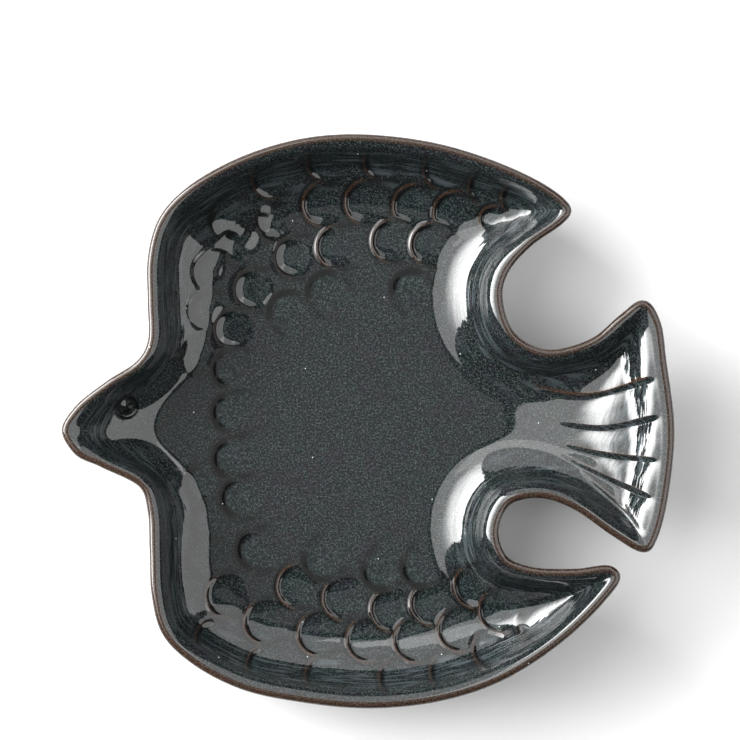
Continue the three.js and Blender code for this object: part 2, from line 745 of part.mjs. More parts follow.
const stoneware = () => new THREE.MeshStandardMaterial({ color: 0x6b4a35, roughness: 0.85, metalness: 0 });
const glaze = () => new THREE.MeshStandardMaterial({ color: 0x2f3a3a, roughness: 0.12, metalness: 0 });

function stonewareBody() {
  const faces = [
    ...facesOf(well.clay, well.triangles),
    ...lipFaces(clayLip),
    ...facesOf(underside.clay, flipped(underside.triangles)),
  ];
  return solid("stoneware_body", faces, stoneware());
}

// The foot ring seats face to face on the bare band of the base. Its sides draw in towards the table.

function footRing() {
  const loops = [
    [0, FOOT_HEIGHT],
    [-FOOT_TAPER, FOOT_CHAMFER],
    [-FOOT_TAPER - FOOT_CHAMFER, 0],
    [FOOT_TAPER + FOOT_CHAMFER - FOOT_WIDTH, 0],
    [FOOT_TAPER - FOOT_WIDTH, FOOT_CHAMFER],
    [-FOOT_WIDTH, FOOT_HEIGHT],
  ].map(([grow, z]) => footOval(grow).map((p) => at(p, z)));
  const faces = loops.flatMap((loop, i) => flipped(band(loop, loops[(i + 1) % loops.length])));
  return solid("foot_ring", faces, stoneware());
}

function wellGlaze() {
  return solid("well_glaze", coat(well.triangles, well.glazed, well.clay), glaze());
}

// The outside coat starts at the lip's crest, beside the well's coat, and stops short of the foot ring.

function outsideGlaze() {
  const onRim = ([a, b]) => a < rim.length && b < rim.length;
  const faces = [
    ...lipFaces(glazedLip),
    ...flipped(lipFaces(clayLip)),
    ...flipped(band(glazedLip[0], clayLip[0])),
    ...coat(flipped(underside.outside), underside.glazed, underside.clay, (edge) => !onRim(edge)),
  ];
  return solid("outside_glaze", faces, glaze());
}

function baseGlaze() {
  return solid("base_glaze", coat(flipped(underside.base), underside.glazed, underside.clay), glaze());
}

const dish = new THREE.Group();
dish.name = "bird_sauce_dish";
dish.add(stonewareBody(), footRing(), wellGlaze(), outsideGlaze(), baseGlaze());

export default dish;
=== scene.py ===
# %% [markdown]
# # A bird-shaped sauce dish in glazed stoneware
#
# The real dish is pressed from clay in one piece: its rim draws a flying bird seen from above, and the inside
# carries rows of scalloped feathers, a fluted tail and a small eye. It is dipped in a dark reactive glaze
# that runs thin and brown on every edge and pools, darker and greener, in every hollow. Beside the feathers'
# edges and in the eye the colour also carries painted shade, nearly black. A bare foot ring keeps the glaze
# off the kiln shelf. Almost everything that the eye reads here is gloss on a curved surface, so the lesson is
# about one smooth surface, worked out as a height over the plan, and about a glaze that knows where it lies
# thin and where it lies thick. Lengths in this file are millimetres unless a line says otherwise.

import bpy
import numpy as np
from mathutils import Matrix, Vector
from mathutils.geometry import delaunay_2d_cdt


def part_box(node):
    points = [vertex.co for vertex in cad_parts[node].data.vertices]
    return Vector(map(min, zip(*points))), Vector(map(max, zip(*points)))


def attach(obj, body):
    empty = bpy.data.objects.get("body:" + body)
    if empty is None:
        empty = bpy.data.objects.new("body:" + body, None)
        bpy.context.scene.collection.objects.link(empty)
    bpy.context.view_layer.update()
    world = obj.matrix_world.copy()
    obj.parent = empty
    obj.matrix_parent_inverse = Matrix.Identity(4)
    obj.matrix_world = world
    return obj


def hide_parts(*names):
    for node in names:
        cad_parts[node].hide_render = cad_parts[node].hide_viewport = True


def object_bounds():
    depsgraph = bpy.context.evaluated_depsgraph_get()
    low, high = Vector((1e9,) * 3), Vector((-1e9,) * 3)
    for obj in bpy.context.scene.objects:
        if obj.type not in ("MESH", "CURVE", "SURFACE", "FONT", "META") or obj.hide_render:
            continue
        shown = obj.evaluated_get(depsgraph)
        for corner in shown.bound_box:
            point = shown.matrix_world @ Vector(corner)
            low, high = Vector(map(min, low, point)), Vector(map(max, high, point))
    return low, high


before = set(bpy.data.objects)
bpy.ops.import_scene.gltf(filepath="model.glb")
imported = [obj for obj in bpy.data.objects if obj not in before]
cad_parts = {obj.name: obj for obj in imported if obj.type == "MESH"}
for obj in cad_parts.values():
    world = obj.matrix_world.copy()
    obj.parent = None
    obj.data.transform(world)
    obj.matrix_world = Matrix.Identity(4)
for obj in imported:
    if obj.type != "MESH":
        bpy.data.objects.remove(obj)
cad_low, cad_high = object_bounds()

MM = 0.001  # metres in a millimetre
length, width, height = ((np.array(cad_high) - np.array(cad_low)) / MM).tolist()
print(f"dish {length:.1f} x {width:.1f} x {height:.1f} mm")

# %% [markdown]
# ## The rim
#
# The lip's crest is one closed curve. It could be a Bezier curve object, but the walls need to know how far
# every point of the well lies from it, so it is kept as an array: a smooth curve through points of the plan,
# each with the run of the wall behind it, which is how far the wall takes to come down to the floor. A wide
# run gives the gentle ramp of the tail, a short one the steep sides.

# %% Plan of the rim
SIDE_RUN = 15.5
BEAK_RUN = 22
HEAD_RUN = 11.5
UPPER_WING_RUN = 18
LOWER_WING_RUN = 19
TIP_RUN = 13
NOTCH_RUN = 20
TAIL_SIDE_RUN = 15
TAIL_CORNER_RUN = 24
TAIL_END_RUN = 34

PLAN = np.array([  # x, y and the run of the wall
    # beak and the upper edge of the head
    (-75.5, -2.25, BEAK_RUN), (-73, 2.25, BEAK_RUN), (-64.5, 9.25, HEAD_RUN), (-57, 14.25, HEAD_RUN),
    (-54, 19.75, SIDE_RUN),
    # wing on the +Y side
    (-54, 30, SIDE_RUN), (-54, 40.5, SIDE_RUN), (-51.5, 49.75, SIDE_RUN), (-45.5, 56.75, UPPER_WING_RUN),
    (-33.5, 64, UPPER_WING_RUN), (-18.5, 69, UPPER_WING_RUN), (-4.5, 70.5, UPPER_WING_RUN),
    (13, 69, UPPER_WING_RUN), (27.5, 65.25, UPPER_WING_RUN), (42.5, 58.75, TIP_RUN), (48.5, 54.5, TIP_RUN),
    (49.75, 52.5, TIP_RUN), (48, 50.25, TIP_RUN),
    # notch on the +Y side
    (40, 44.5, TIP_RUN), (33.75, 37, NOTCH_RUN), (32.5, 31, NOTCH_RUN), (35.5, 21.75, NOTCH_RUN),
    (44.5, 16.75, TAIL_SIDE_RUN), (56.25, 19.5, TAIL_SIDE_RUN), (64, 25.75, TAIL_SIDE_RUN),
    # end of the tail
    (68.5, 29, TAIL_SIDE_RUN), (72, 24.75, TAIL_CORNER_RUN), (73.5, 15.25, TAIL_END_RUN),
    (75.5, -2.25, TAIL_END_RUN), (74, -18.25, TAIL_END_RUN), (71.25, -29, TAIL_CORNER_RUN),
    (68.5, -31.5, TAIL_SIDE_RUN),
    # notch on the -Y side
    (62, -27.75, TAIL_SIDE_RUN), (51.25, -20.5, TAIL_SIDE_RUN), (43, -18, TAIL_SIDE_RUN),
    (34.5, -20.25, NOTCH_RUN), (31.5, -27.25, NOTCH_RUN), (33.5, -34, NOTCH_RUN), (40.5, -37.5, TIP_RUN),
    (52, -38, TIP_RUN),
    # wing on the -Y side
    (60.5, -37.25, TIP_RUN), (62, -38.75, TIP_RUN), (58.5, -44, TIP_RUN), (47.5, -54.5, TIP_RUN),
    (32.5, -64, LOWER_WING_RUN), (17.75, -68.75, LOWER_WING_RUN), (0.5, -70.5, LOWER_WING_RUN),
    (-16.5, -69, LOWER_WING_RUN), (-31.5, -65.75, LOWER_WING_RUN), (-43.5, -59.5, LOWER_WING_RUN),
    (-50.5, -52.5, SIDE_RUN), (-53, -43.25, SIDE_RUN), (-53.5, -32.25, SIDE_RUN),
    # lower edge of the head
    (-54, -22.25, SIDE_RUN), (-56.25, -15.75, HEAD_RUN), (-66.25, -10.5, HEAD_RUN), (-73, -7, BEAK_RUN),
])
print(f"plan of {len(PLAN)} points")

# %% Crest of the lip
LIP_RADIUS = 1.2
CURVE_STEPS = 60
RIM_COUNT = 1500


def closed_curve(points, steps):
    """Points along a closed centripetal Catmull-Rom curve: between two points the curve is the cubic whose
    end slopes come from the neighbours, with times that grow as the square root of the distances."""
    before, start, end, after = (np.roll(points, shift, axis=0) for shift in (1, 0, -1, -2))
    gap = [np.sqrt(np.linalg.norm(b - a, axis=1))[:, None]
           for a, b in ((before, start), (start, end), (end, after))]
    slope_start = (start - before) / gap[0] - (end - before) / (gap[0] + gap[1]) + (end - start) / gap[1]
    slope_end = (end - start) / gap[1] - (after - start) / (gap[1] + gap[2]) + (after - end) / gap[2]
    slope_start, slope_end = slope_start * gap[1], slope_end * gap[1]
    t = np.linspace(0, 1, steps, endpoint=False)[None, :, None]
    start, end, slope_start, slope_end = (a[:, None, :] for a in (start, end, slope_start, slope_end))
    curve = (start + slope_start * t
             + (3 * (end - start) - 2 * slope_start - slope_end) * t ** 2
             + (2 * (start - end) + slope_start + slope_end) * t ** 3)
    return curve.reshape(-1, points.shape[1])


def evenly(points, count):
    """The closed line through the points, cut into equal steps along its length on the plan."""
    ring = np.vstack([points, points[:1]])
    along = np.concatenate([[0], np.cumsum(np.linalg.norm(np.diff(ring[:, :2], axis=0), axis=1))])
    places = np.linspace(0, along[-1], count, endpoint=False)
    return np.column_stack([np.interp(places, along, column) for column in ring.T])


raw_rim = closed_curve(PLAN, CURVE_STEPS)
plan_low, plan_high = raw_rim[:, :2].min(axis=0), raw_rim[:, :2].max(axis=0)
plan_middle = (plan_low + plan_high) / 2
plan_stretch = (np.array([length, width]) - 2 * LIP_RADIUS) / (plan_high - plan_low)


def place(points):
    """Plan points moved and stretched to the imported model's own length and width."""
    return (np.asarray(points, dtype=float) - plan_middle) * plan_stretch


rim = evenly(np.column_stack([place(raw_rim[:, :2]), raw_rim[:, 2]]), RIM_COUNT)
crest, wall_run = rim[:, :2], rim[:, 2]
heading = np.roll(crest, -1, axis=0) - np.roll(crest, 1, axis=0)
heading /= np.linalg.norm(heading, axis=1)[:, None]
outward = np.column_stack([-heading[:, 1], heading[:, 0]])
rim_step = np.linalg.norm(np.roll(crest, -1, axis=0) - crest, axis=1)
print(f"rim of {RIM_COUNT} points, {rim_step.sum():.0f} mm round")

# %% [markdown]
# ## Walls
#
# The walls are one formula of the distance to the rim. The true distance has sharp creases where two walls
# are equally near, which would show as hard lines in the gloss. Summing an inverse power of the distances to
# all points of the rim gives a distance that is exact beside a wall and rounds every such crease. The wall
# then falls in a steep drop below the lip and in a long fillet, because a pressed dish has no sharp corner.

# %% Blended distance to the rim
STRAIGHT_WALL = 3 * np.pi / 8  # the sum below for a straight wall at unit distance
CLOSEST_SQUARE = 1e-4  # keeps the sum finite on the rim itself
CHUNK = 4000


def in_chunks(points):
    """Slices that take the points some thousands at a time, to spare memory."""
    return [slice(first, first + CHUNK) for first in range(0, len(points), CHUNK)]


def wall_at(points):
    """Blended distance (c / sum(ds / r^6))^(1/5) and the mean run of the wall with the same weights."""
    distance, run = np.empty(len(points)), np.empty(len(points))
    for some in in_chunks(points):
        gap = points[some, None, :] - crest[None, :, :]
        share = rim_step / np.maximum((gap ** 2).sum(axis=2), CLOSEST_SQUARE) ** 3
        total = share.sum(axis=1)
        distance[some] = (STRAIGHT_WALL / total) ** 0.2
        run[some] = share @ wall_run / total
    return distance, run


middle_distance, _ = wall_at(np.zeros((1, 2)))
print(f"the middle lies {middle_distance[0]:.0f} mm from the rim")

# %% Profile of a wall
STEEP_FROM = 0.09
STEEP_SHARE = 0.32
LONG_RUN = 20
LONG_START_POWER = 1.5
LONG_SHARE_POWER = 0.4
FILLET_SHARE = 0.42
FILLET_CURVE = 2.5


def smooth(value, low, high):
    """0 below low, 1 above high, and the cubic 3t^2 - 2t^3 between."""
    t = np.clip((value - low) / (high - low), 0, 1)
    return t * t * (3 - 2 * t)


def wall_share(distance, run):
    """Height left at a distance from the lip: a smooth steep drop and a fillet (1-t)^n (1+nt), blended. The
    drop starts at a share of the run and takes another, both smaller on the tail's long wall."""
    t = np.clip(distance / run, 0, 1)
    usual = np.minimum(1, LONG_RUN / run)
    start = STEEP_FROM * usual ** LONG_START_POWER
    steep = 1 - smooth(t, start, start + STEEP_SHARE * usual ** LONG_SHARE_POWER)
    fillet = (1 - t) ** FILLET_CURVE * (1 + FILLET_CURVE * t)
    return steep * (1 - FILLET_SHARE) + fillet * FILLET_SHARE


print(f"half-way down its run a side wall keeps {wall_share(SIDE_RUN / 2, SIDE_RUN):.0%} of its height")

# %% [markdown]
# ## Feathers
#
# Each feather is a thumbnail cut: the surface swells up to a round edge on the side of the head, drops, and
# rises again towards the tail. They could be sculpted, but they lie in rows, so a row is a kind of cut, a
# lean and the foremost points of its feathers, and a loop makes them. The kinds differ in how sharp the edge
# is, because a broad slope mirrors a whole light and a sharp one only draws a line. The glaze follows the
# cuts: brown on the edge and deep behind it. Beside the edge and behind its ends the colour carries painted
# shade, nearly black.

# %% Kinds and rows of feathers
FEATHER_RADIUS = 5.7
RIM_FEATHER_RADIUS = 5.0
TIP_FEATHER_RADIUS = 3.4

FEATHER_KINDS = {
    # cut's depth and run, raised edge's height, run and taper, how brown the edge is and how dark its painted
    # shade is
    "scoop": (0.45, 4.6, 0.45, 6.0, 0, 0.15, 0.9),
    "wall scoop": (0.5, 5.2, 0.7, 1.8, 0, 0.15, 0.9),
    "faint": (0.2, 4.8, 0.1, 1.6, 0, 0.1, 0.7),
    "soft edge": (0.19, 2.2, 0.0, 1.0, 0, 0.1, 0.9),
    "crescent": (0.6, 2.6, 0.12, 2.2, 0, 0.5, 1.0),
    "rim crescent": (0.6, 1.4, 0.12, 1.5, 0, 0.6, 0.9),
    "glint edge": (0.55, 0.85, 0.34, 0.8, 2, 0.8, 1.0),
    "edge": (0.65, 0.9, 0.06, 1.0, 0, 0.9, 1.0),
    "low edge": (0.24, 2.2, 0.0, 1.0, 0, 0.2, 1.0),
    "tip scoop": (0.4, 3.5, 0.0, 1.0, 0, 0.3, 0.8),
}
FEATHER_ROWS = (  # kind, radius, lean at both ends of the row in degrees, foremost points on the plan
    ("scoop", RIM_FEATHER_RADIUS, (30, 15), ((-39.5, 48.5), (-27.9, 48.6))),
    ("scoop", RIM_FEATHER_RADIUS, (-20, -20), ((-37.25, 45.25),)),
    ("wall scoop", RIM_FEATHER_RADIUS, (-15, -8), ((-43.5, 38.75), (-44.8, 28.6))),
    ("faint", FEATHER_RADIUS, (0, 0), ((-47, 16.75), (-46.75, -16), (-45, -25.25), (-46, -35))),
    ("crescent", FEATHER_RADIUS, (0, 0), ((-23.5, 41.25), (-33.75, 33), (-38.75, 23))),
    ("rim crescent", RIM_FEATHER_RADIUS, (25, -25),
     ((-28.75, 58.75), (-15.25, 63.75), (-1, 64.75), (14, 63.5), (25.5, 60), (34, 57.75))),
    ("edge", FEATHER_RADIUS, (0, -25), ((-16.5, 54.5), (-5.75, 55.75), (6.5, 55.5), (17, 54.5))),
    ("edge", TIP_FEATHER_RADIUS, (-35, -35), ((28.75, 52.5),)),
    ("glint edge", FEATHER_RADIUS, (0, -15), ((-13, 43.75), (1, 46), (11, 45.75))),
    ("low edge", FEATHER_RADIUS, (0, 5),
     ((-39.75, 13), (-39.75, 2), (-39.5, -9.75), (-37.5, -19.75), (-33.5, -33))),
    ("edge", FEATHER_RADIUS, (0, 5), ((-23, -41.75), (-11.5, -45.25))),
    ("glint edge", FEATHER_RADIUS, (10, 25), ((0.75, -48.5), (11, -47.75), (22.25, -44))),
    ("edge", FEATHER_RADIUS, (15, 30),
     ((-40.75, -45.5), (-31, -52.25), (-17.5, -55.5), (-5, -57.25), (7, -57.5), (18.25, -55),
      (28.75, -50.5))),
    ("rim crescent", RIM_FEATHER_RADIUS, (0, 30),
     ((-43.5, -54.75), (-30.5, -61.75), (-15.75, -65), (3, -66), (16, -65), (27, -59.75))),
    ("tip scoop", RIM_FEATHER_RADIUS, (30, 30), ((38.25, -53.75),)),
    ("soft edge", FEATHER_RADIUS, (-45, -50), ((-24, 31.25), (-14, 36.5), (7.5, 37))),
    ("soft edge", FEATHER_RADIUS, (45, 45), ((-15.25, -39), (-0.25, -41.5), (9.75, -40.75))),
)

feathers = []
for kind, radius, lean, fronts in FEATHER_ROWS:
    angles = np.radians(np.linspace(*lean, len(fronts)))
    opens = np.column_stack([np.cos(angles), np.sin(angles)])
    centres = place(fronts) + radius * opens
    feathers += [(centre, radius, way, *FEATHER_KINDS[kind]) for centre, way in zip(centres, opens)]
print(f"{len(feathers)} feathers in {len(FEATHER_ROWS)} rows")

# %% Relief, glaze and painted shade of the feathers
FEATHER_SPAN = 95  # degrees from the foremost point to the ends of the edge
FEATHER_FRONT = 40  # degrees over which the edge is at its full height
FEATHER_BACK = 0.9  # in radii, as are the next two and the streak's places
FEATHER_SIDE = 0.3
# the streak is painted shade behind both ends of an edge
STREAK_REACH = 1.4
STREAK_ASIDE = 0.95
STREAK_WIDTH = 0.15
STREAK_IN = (-0.5, 0.1)
STREAK_OUT = (0.3, 1)
STREAK_SHADE = 0.7
COVER_MARGIN = 1.2
BROWN_LINE = 0.38
# widths and gap of the painted shade lines along an edge
DARK_LINE = 0.45
DARK_LINE_GAP = 0.8
INNER_LINE = (0.5, 0.85)
INNER_LINES_IN_RUN = 3
TINY = 1e-6


def bell(value, spread):
    """exp(-(value / spread)^2): 1 at zero, fading on both sides."""
    return np.exp(-(value / spread) ** 2)


def edge_shade(past, run, brown):
    """Painted shade at a distance past a feather's edge, as a sum of bells: a line outside it as far as the
    edge is brown, one upon it as far as it isn't, and one inside it."""
    outside = brown * bell(past - DARK_LINE_GAP, DARK_LINE)
    upon = (1 - brown) * bell(past + DARK_LINE, DARK_LINE_GAP)
    inside = bell(past + DARK_LINE_GAP, np.clip(run / INNER_LINES_IN_RUN, *INNER_LINE))
    return np.minimum(outside + upon + inside, 1)


def streak_shade(ahead, aside):
    """Painted shade behind both ends of an edge: a bell to the side that fades in and out along the feather.
    """
    beside = bell(aside - STREAK_ASIDE, STREAK_WIDTH)
    return beside * smooth(ahead, *STREAK_IN) * (1 - smooth(ahead, *STREAK_OUT))


def feather_relief(points):
    """Height ridge * swell - depth * scoop of the feathers, each pressed over the ones before it, with shares
    of thin and pooled glaze and of painted shade. A scoop is the drop behind the round edge, times a straight
    rise back towards the tail and a soft one to the sides."""
    rise, thin, pool, dark = np.zeros((4, len(points)))
    edge_end, edge_full = np.cos(np.radians([FEATHER_SPAN, FEATHER_FRONT]))
    for centre, radius, way, depth, run, ridge, ridge_run, taper, brown, shade in feathers:
        arm = points - centre
        r = np.linalg.norm(arm, axis=1)
        near = np.flatnonzero(r < max(STREAK_REACH * radius, radius + ridge_run))
        arm, r = arm[near] / radius, np.maximum(r[near], TINY)
        ahead, aside = arm @ way, np.abs(arm @ np.array([-way[1], way[0]]))
        front = -ahead * radius / r
        facing = smooth(front, edge_end, edge_full)
        left = 1 - smooth(radius - r, 0, run)
        swell = left * smooth(radius + ridge_run - r, 0, ridge_run) * facing * np.maximum(front, 0) ** taper
        scoop = (1 - left) * np.clip((FEATHER_BACK - ahead) / (FEATHER_BACK + 1), 0, 1)
        scoop *= 1 - smooth(aside, FEATHER_SIDE, 1)
        over = smooth(radius + COVER_MARGIN - r, 0, COVER_MARGIN) * (1 - smooth(ahead, 0, FEATHER_BACK))
        kept = 1 - over
        # painted shade: dark lines along the edge and dark streaks behind its ends
        shade_along_edge = facing * edge_shade(r - radius, run, brown)
        shade_behind_ends = STREAK_SHADE * streak_shade(ahead, aside)
        rise[near] = kept * rise[near] + ridge * swell - depth * scoop
        thin[near] = np.maximum(kept * thin[near], brown * facing * bell(r - radius, BROWN_LINE))
        pool[near] = np.maximum(kept * pool[near], scoop)
        dark[near] = np.maximum(kept * dark[near], shade * np.maximum(shade_along_edge, shade_behind_ends))
    return rise, thin, pool, dark


print(f"feather cuts up to {max(kind[0] for kind in FEATHER_KINDS.values())} mm deep")

# %% [markdown]
# ## The fluted tail
#
# Five creases fan out over the tail, as between long feathers. Each is a small step along a curved line: the
# surface rises towards it on one side and drops on the other, so every flute mirrors the same bright band a
# little shifted. A boolean cut would leave hard edges, so the step is added to the height, smoothly.

# %% Creases of the tail
FLUTE_DEPTH = 0.7
FLUTE_RIDGE = 0.45
FLUTE_EDGE = 1.6
FLUTE_WIDTH = 5
FLUTE_START = 0.35  # share of the crease over which it grows from the root
CREASE_POINTS = 81
CREASE_BROWN_SHIFT = 0.1
CREASE_BROWN_LINE = 0.4
TAIL_CREASES = (  # how brown the crease is, and its points from the root of the tail to its end
    (0.8, ((40, 9.25), (54.5, 6.75), (70.5, 11.25))),
    (0.2, ((47, 0.25), (59.5, -1), (73, 2))),
    (0.4, ((48, -5), (59.5, -7.75), (72.5, -9))),
    (0.3, ((47, -7), (59.5, -13.25), (71, -18.25))),
    (0.2, ((52, -10.5), (61, -18.5), (69.5, -27))),
)


def open_curve(points, t):
    """Points at shares t of an open uniform Catmull-Rom curve, whose ends are repeated."""
    points = np.asarray(points, dtype=float)
    spot = np.asarray(t) * (len(points) - 1)
    index = np.minimum(spot.astype(int), len(points) - 2)
    part = (spot - index)[:, None]
    ids = [np.clip(index + shift, 0, len(points) - 1) for shift in (-1, 0, 1, 2)]
    p0, p1, p2, p3 = (points[i] for i in ids)
    v0, v1 = (p2 - p0) / 2, (p3 - p1) / 2
    return ((2 * p1 - 2 * p2 + v0 + v1) * part ** 3 + (-3 * p1 + 3 * p2 - 2 * v0 - v1) * part ** 2
            + v0 * part + p1)


def near_line(points, line, reach):
    """Numbers of the points in the line's box, widened by the reach, and their gaps to each point of it."""
    box_low, box_high = line.min(axis=0) - reach, line.max(axis=0) + reach
    near = np.flatnonzero(((points > box_low) & (points < box_high)).all(axis=1))
    return near, points[near, None, :] - line[None, :, :]


shares = np.linspace(0, 1, CREASE_POINTS)
creases = [(brown, open_curve(place(points), shares)) for brown, points in TAIL_CREASES]


def crease_relief(points):
    """Beside each crease: a rise on its +Y side, a drop on the other, both fading over the flute's width."""
    rise, thin = np.zeros((2, len(points)))
    for brown, line in creases:
        along = np.gradient(line, axis=0)
        along /= np.linalg.norm(along, axis=1)[:, None]
        near, gaps = near_line(points, line, FLUTE_WIDTH)
        nearest = (gaps ** 2).sum(axis=2).argmin(axis=1)
        gap, ahead = points[near] - line[nearest], along[nearest]
        side = ahead[:, 0] * gap[:, 1] - ahead[:, 1] * gap[:, 0]
        past = np.abs((gap * ahead).sum(axis=1))
        strength = smooth(nearest / (len(line) - 1), 0, FLUTE_START) * (1 - smooth(past, 0, FLUTE_WIDTH / 2))
        fade = 1 - smooth(np.abs(side), 0, FLUTE_WIDTH)
        below = smooth(-side, 0, FLUTE_EDGE)
        rise[near] += strength * fade * (FLUTE_RIDGE * (1 - below) - FLUTE_DEPTH * below)
        line_brown = brown * strength * bell(side - CREASE_BROWN_SHIFT, CREASE_BROWN_LINE)
        thin[near] = np.maximum(thin[near], line_brown)
    return rise, thin


print(f"{len(creases)} creases in the tail")

# %% [markdown]
# ## The eye
#
# A small dimple with a bead in it, pressed with the point of a tool. A boolean with a sphere would leave a
# hard rim, so its height is a smooth formula of the distance from its middle. Its disc gets painted shade,
# nearly black, the dark of the dimple.

# %% Relief of the eye
EYE_CENTRE = (-61, 3.5)
EYE_RADIUS = 3.3
EYE_FLOOR_RADIUS = 2.4
EYE_DEPTH = 1.0
EYE_SHADE = 0.9
PUPIL_RADIUS = 2.2
PUPIL_TOP_RADIUS = 0.2
PUPIL_HEIGHT = 0.9
eye = place(EYE_CENTRE)


def eye_relief(points):
    """A dimple of one depth with soft sides, a bead that rises in its middle, and painted shade over them."""
    r = np.linalg.norm(points - eye, axis=1)
    dimple = -EYE_DEPTH * (1 - smooth(r, EYE_FLOOR_RADIUS, EYE_RADIUS))
    bead = PUPIL_HEIGHT * (1 - smooth(r, PUPIL_TOP_RADIUS, PUPIL_RADIUS))
    # the second share is painted shade over the eye's disc
    return dimple + bead, EYE_SHADE * (1 - smooth(r, EYE_FLOOR_RADIUS, EYE_RADIUS + DARK_LINE))


print(f"eye at {eye[0]:.1f}, {eye[1]:.1f} mm")

# %% [markdown]
# ## Inside and outside heights
#
# Both faces of the dish are heights over the plan. A Solidify modifier would print the feathers through to
# the outside, so that face has its own formula. Inside, the share of the wall's height that is left falls
# from 1 at the lip to 0 at the floor: rounded over the lip, steep, then a long fillet. Outside it falls as a
# power, steep at the lip and flat at the base. The bottom climbs towards the tail and a little towards the
# beak. Each height comes with what the glaze does there and where shade is painted, so that colour and
# shape can't drift apart.

# %% Climb of the bottom
TAIL_RAMP = 9
TAIL_RAMP_FROM = 30
TAIL_RAMP_TO = 75
HEAD_RAMP = 4
HEAD_RAMP_FROM = -52
HEAD_RAMP_TO = -68
HEAD_AXIS = -1.75
HEAD_FLARE = 0.45
HEAD_HOLLOW = 3
NECK_HALF = 14


def ramps(points):
    """How far the dish's bottom climbs towards the tail and towards the beak, as smooth steps along X. The
    beak's step bends back beside the head's axis and ends beside the neck."""
    ends = np.column_stack([(TAIL_RAMP_FROM, TAIL_RAMP_TO, HEAD_RAMP_FROM, HEAD_RAMP_TO), np.zeros(4)])
    tail_from, tail_to, head_from, head_to = place(ends)[:, 0]
    x, aside = points[:, 0], np.hypot(points[:, 1] - place((0, HEAD_AXIS))[1], HEAD_HOLLOW) - HEAD_HOLLOW
    in_neck = 1 - smooth(aside, NECK_HALF, 2 * NECK_HALF)
    head = HEAD_RAMP * smooth(HEAD_FLARE * aside - x, -head_from, -head_to) * in_neck
    return TAIL_RAMP * smooth(x, tail_from, tail_to) + head


print(f"the bottom climbs {TAIL_RAMP} mm towards the tail and {HEAD_RAMP} mm towards the beak")

# %% Height formulas
GLAZE = 0.5
FOOT_HEIGHT = 2.5
FLOOR_THICKNESS = 5.5
LIP_ROLL = 0.7
LIP_ROLL_WIDTH = 2.8
LIP_BROWN = 0.55
LIP_BROWN_FADE = (0.1, 0.9)
RELIEF_START = 1.6
RELIEF_FULL = 6
POOL_SHARE = 0.4
OUTSIDE_SHARE = 0.82
OUTSIDE_CURVE = 3.1
OUTSIDE_BROWN_HEIGHT = 4
base_z = FOOT_HEIGHT - GLAZE
floor_z = base_z + FLOOR_THICKNESS
equator_z = height - LIP_RADIUS


def inner_height(points):
    """floor + rise * wall share + relief, which fades in behind the lip, what the glaze does there and where
    shade is painted. The wall is steepest about where half of its height s is left, so steep is 4 s (1 - s)."""
    distance, run = wall_at(points)
    wall = wall_share(distance, run)
    feather_rise, feather_thin, feather_pool, feather_painted_shade = feather_relief(points)
    crease_rise, crease_thin = crease_relief(points)
    eye_rise, eye_painted_shade = eye_relief(points)
    shown = smooth(distance, RELIEF_START, RELIEF_FULL)
    relief = feather_rise + crease_rise + eye_rise
    floor = floor_z + ramps(points)
    top = height - LIP_ROLL * smooth(distance, 0, LIP_ROLL_WIDTH)
    lip = LIP_BROWN * (1 - smooth(distance, *LIP_BROWN_FADE))
    return {
        "z": floor + (top - floor) * wall + relief * shown,
        "thin": np.maximum(np.maximum(feather_thin, crease_thin) * shown, lip),
        "pool": POOL_SHARE * feather_pool * shown,
        # dark is painted shade beside the feathers' edges and over the eye
        "dark": np.maximum(feather_painted_shade, eye_painted_shade) * shown,
        "steep": np.clip(4 * wall * (1 - wall), 0, 1),
    }


def outer_height(points):
    """base + rise * (1-t)^n, with t the distance from the lip's widest line over its share of the run."""
    distance, run = wall_at(points)
    t = np.clip((distance + LIP_RADIUS) / (run * OUTSIDE_SHARE), 0, 1)
    base = base_z + ramps(points)
    z = base + (equator_z - base) * (1 - t) ** OUTSIDE_CURVE
    thin = LIP_BROWN * smooth(z, equator_z - OUTSIDE_BROWN_HEIGHT, equator_z)
    return {"z": z, "thin": thin, "pool": 0 * z, "dark": 0 * z, "steep": (1 - t) ** 2}


print(f"well {height - floor_z:.1f} mm deep, base {base_z:.1f} mm above the table")

# %% [markdown]
# ## One closed surface
#
# A grid that follows the rim would fold at the wing tips, and a square grid would cut the rim into stairs. So
# the plan is filled with points, rows that follow the rim first and even triangular grids after them, and
# Blender's own Delaunay function joins them. The heights then lift the points. The grid is finest along the
# feathers' edges, which turn within a millimetre, and coarse on the smooth floor.

# %% Points and triangles over the plan
KEEP_INSIDE = 1  # the Delaunay function's code for triangles inside the ring only
MERGE_DISTANCE = 1e-7
ROW_TOLERANCE = 0.9
GRID_GAP = 0.25


def triangular_grid(step, half_length, half_width):
    """Corners of equilateral triangles with that side, over a rectangle about the origin."""
    columns = np.arange(-half_length, half_length, step)
    rows = np.arange(-half_width, half_width, step * np.sqrt(3) / 2)
    x, y = np.meshgrid(columns, rows)
    x[1::2] += step / 2
    return np.column_stack([x.ravel(), y.ravel()])


def inside_rim(points, ring):
    """True where a ray along +X crosses the ring an odd number of times."""
    inside = np.zeros(len(points), dtype=bool)
    ends = np.roll(ring, -1, axis=0)
    for some in in_chunks(points):
        x, y = points[some, 0, None], points[some, 1, None]
        crosses = (ring[:, 1] > y) != (ends[:, 1] > y)
        rise = np.where(crosses, ends[:, 1] - ring[:, 1], 1.0)
        reach = ring[:, 0] + (y - ring[:, 1]) / rise * (ends[:, 0] - ring[:, 0])
        inside[some] = (crosses & (x < reach)).sum(axis=1) % 2 == 1
    return inside


def ring_distance(points, ring):
    """Distance to the nearest point of the ring."""
    nearest = np.empty(len(points))
    for some in in_chunks(points):
        nearest[some] = np.sqrt(((points[some, None, :] - ring[None, :, :]) ** 2).sum(axis=2).min(axis=1))
    return nearest


